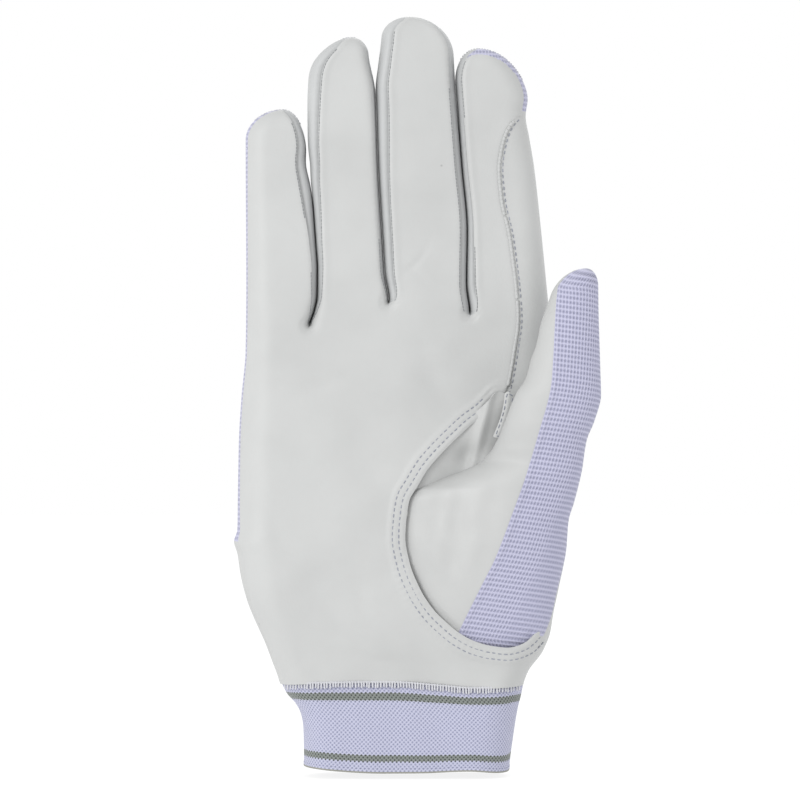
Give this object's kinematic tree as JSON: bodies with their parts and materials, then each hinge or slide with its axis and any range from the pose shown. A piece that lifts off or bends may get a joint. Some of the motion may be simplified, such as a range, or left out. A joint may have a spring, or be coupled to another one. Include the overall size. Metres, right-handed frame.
{
  "type": "sports glove",
  "caption": "Right-hand sports glove with a leather palm, knit back, bending fingers and thumb, elastic cuff and a hook-and-loop wrist tab.",
  "frame": {"origin": "centre of the wrist opening at the cuff's lower edge", "axes": "+Z from the wrist to the fingertips, +Y from the palm to the back of the hand, +X towards the thumb"},
  "size_m": [0.1086, 0.0473, 0.2273],
  "materials": {
    "palm_leather": "smooth pale grey leather",
    "thumb_leather": "smooth pale grey leather",
    "yoke_leather": "smooth pale grey leather",
    "fourchette": "smooth pale grey leather",
    "knit": "waffle knit",
    "cuff_rib": "fine elastic knit with grey stripes",
    "tape": "woven binding",
    "thread": "sewing thread",
    "hook": "hook tape",
    "loop": "loop tape"
  },
  "bodies": {
    "hand": {"palm_leather": "palm_leather", "index_side_panel": "palm_leather", "back_knit": "knit", "wrist_yoke": "yoke_leather", "crotch_ring_little": "fourchette", "crotch_middle_ring": "fourchette", "crotch_index_middle": "fourchette", "thumb_gusset_knit": "knit", "thumb_gusset_leather": "thumb_leather", "cuff_hem_tape": "tape", "cuff_band": "cuff_rib", "cuff_overlock_seam": "thread", "loop_patch": "loop", "tab_sewn_end": "yoke_leather", "web_patch": "palm_leather", "thumb_hole_stitches": "thread", "index_seam_stitches": "thread"},
    "little_base": {"little_base_front": "palm_leather", "little_base_back": "knit", "little_base_left_wall": "fourchette", "little_base_right_wall": "fourchette"},
    "little_tip": {"little_tip_front": "palm_leather", "little_tip_back": "knit", "little_tip_left_wall": "fourchette", "little_tip_right_wall": "fourchette"},
    "ring_base": {"ring_base_front": "palm_leather", "ring_base_back": "knit", "ring_base_left_wall": "fourchette", "ring_base_right_wall": "fourchette"},
    "ring_tip": {"ring_tip_front": "palm_leather", "ring_tip_back": "knit", "ring_tip_left_wall": "fourchette", "ring_tip_right_wall": "fourchette"},
    "middle_base": {"middle_base_front": "palm_leather", "middle_base_back": "knit", "middle_base_left_wall": "fourchette", "middle_base_right_wall": "fourchette"},
    "middle_tip": {"middle_tip_front": "palm_leather", "middle_tip_back": "knit", "middle_tip_left_wall": "fourchette", "middle_tip_right_wall": "fourchette"},
    "index_base": {"index_base_front": "palm_leather", "index_base_back": "knit", "index_base_left_wall": "fourchette", "index_base_right_wall": "fourchette"},
    "index_tip": {"index_tip_front": "palm_leather", "index_tip_back": "knit", "index_tip_left_wall": "fourchette", "index_tip_right_wall": "fourchette"},
    "thumb": {"thumb_knit": "knit", "thumb_leather": "thumb_leather"},
    "thumb_tip": {"thumb_tip_knit": "knit", "thumb_tip_leather": "thumb_leather"},
    "closure_tab": {"closure_tab": "yoke_leather", "hook_patch": "hook"}
  },
  "joints": [
    {"name": "little_knuckle", "type": "hinge", "parent": "hand", "child": "little_base", "pos_m": [-0.03869, -0.003, 0.14789], "axis": [0.9985, 0, 0.0549], "range_deg": [0, 80]},
    {"name": "little_middle_joint", "type": "hinge", "parent": "little_base", "child": "little_tip", "pos_m": [-0.03985, -0.003, 0.16885], "axis": [0.9985, 0, 0.0549], "range_deg": [0, 80]},
    {"name": "ring_knuckle", "type": "hinge", "parent": "hand", "child": "ring_base", "pos_m": [-0.01744, -0.003, 0.15206], "axis": [0.9985, 0, 0.0549], "range_deg": [0, 80]},
    {"name": "ring_middle_joint", "type": "hinge", "parent": "ring_base", "child": "ring_tip", "pos_m": [-0.0189, -0.003, 0.17852], "axis": [0.9985, 0, 0.0549], "range_deg": [0, 80]},
    {"name": "middle_knuckle", "type": "hinge", "parent": "hand", "child": "middle_base", "pos_m": [0.00502, -0.003, 0.1543], "axis": [0.9985, 0, 0.0549], "range_deg": [0, 80]},
    {"name": "middle_middle_joint", "type": "hinge", "parent": "middle_base", "child": "middle_tip", "pos_m": [0.00343, -0.003, 0.18325], "axis": [0.9985, 0, 0.0549], "range_deg": [0, 80]},
    {"name": "index_knuckle", "type": "hinge", "parent": "hand", "child": "index_base", "pos_m": [0.02919, -0.003, 0.15463], "axis": [0.9985, 0, 0.0549], "range_deg": [0, 80]},
    {"name": "index_middle_joint", "type": "hinge", "parent": "index_base", "child": "index_tip", "pos_m": [0.02779, -0.003, 0.18009], "axis": [0.9985, 0, 0.0549], "range_deg": [0, 80]},
    {"name": "thumb_base_joint", "type": "hinge", "parent": "hand", "child": "thumb", "pos_m": [0.03603, -0.018, 0.11688], "axis": [-0.4879, 0, 0.8729], "range_deg": [-45, 0]},
    {"name": "thumb_tip_joint", "type": "hinge", "parent": "thumb", "child": "thumb_tip", "pos_m": [0.0486, -0.018, 0.13], "axis": [0, 1, 0], "range_deg": [-45, 0]},
    {"name": "closure_tab_opening", "type": "hinge", "parent": "hand", "child": "closure_tab", "pos_m": [0.02, 0.0185, 0.053], "axis": [0, 0, -1], "range_deg": [0, 150]}
  ]
}
